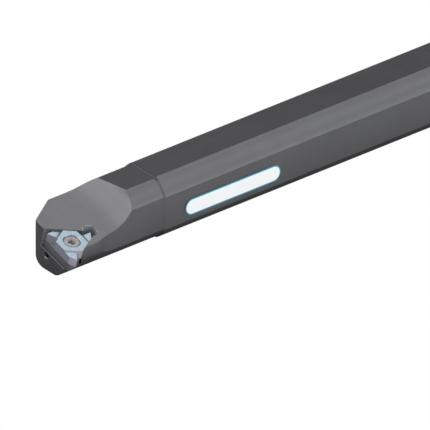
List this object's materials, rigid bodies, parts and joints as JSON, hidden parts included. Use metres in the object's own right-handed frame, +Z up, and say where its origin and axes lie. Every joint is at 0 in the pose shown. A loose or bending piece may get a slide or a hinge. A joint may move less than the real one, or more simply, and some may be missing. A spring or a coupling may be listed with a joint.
{
  "type": "internal threading tool holder",
  "caption": "Internal threading tool holder: a flatted steel bar with an open chip gullet and a screwed, triangular lay-down insert on a shim.",
  "frame": {"origin": "on the axis of the shank, in the plane of the tail face", "axes": "+X out of the tail along the bar, +Z up from the insert's rake side, +Y to the back, away from the cutting tip"},
  "size_m": [0.2, 0.0258, 0.022],
  "materials": {
    "bar_steel": "dark satin",
    "coated_carbide": "coated, satin, slightly blue",
    "bare_carbide": "ground",
    "screw_steel": "satin",
    "label_film": "white film with a teal rim"
  },
  "bodies": {
    "root": {"bar": "bar_steel", "threading_insert": "coated_carbide", "insert_screw": "screw_steel", "shim": "bare_carbide", "shim_screw": "screw_steel", "label": "label_film"}
  },
  "joints": []
}
